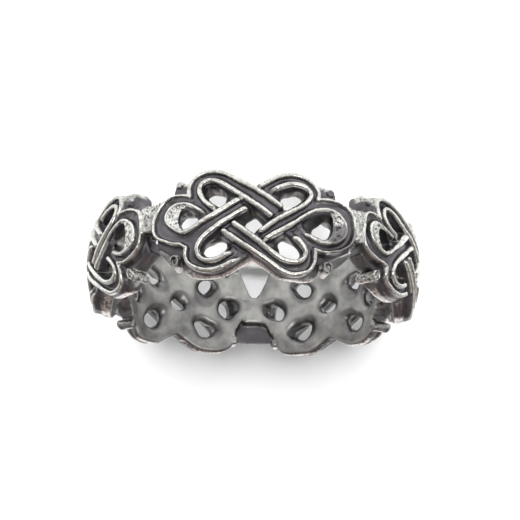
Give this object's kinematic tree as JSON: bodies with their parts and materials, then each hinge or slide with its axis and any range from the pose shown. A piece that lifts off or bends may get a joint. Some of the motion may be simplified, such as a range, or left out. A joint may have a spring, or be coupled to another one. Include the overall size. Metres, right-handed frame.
{
  "type": "sennit ring",
  "caption": "Finger ring of interlaced double-rail ribbons in pierced knot panels, joined by small bridges around a plain finger bore.",
  "frame": {"origin": "centre of the finger bore, halfway between the ring's two edges", "axes": "+Z along the bore axis; -Y through the centre of one knot panel"},
  "size_m": [0.0212, 0.0212, 0.0066],
  "materials": {
    "oxidised_silver": "cast silver, polished on the raised rails, oxidised dark in the grooves and openings"
  },
  "bodies": {
    "root": {"knot_ring": "oxidised_silver"}
  },
  "joints": []
}
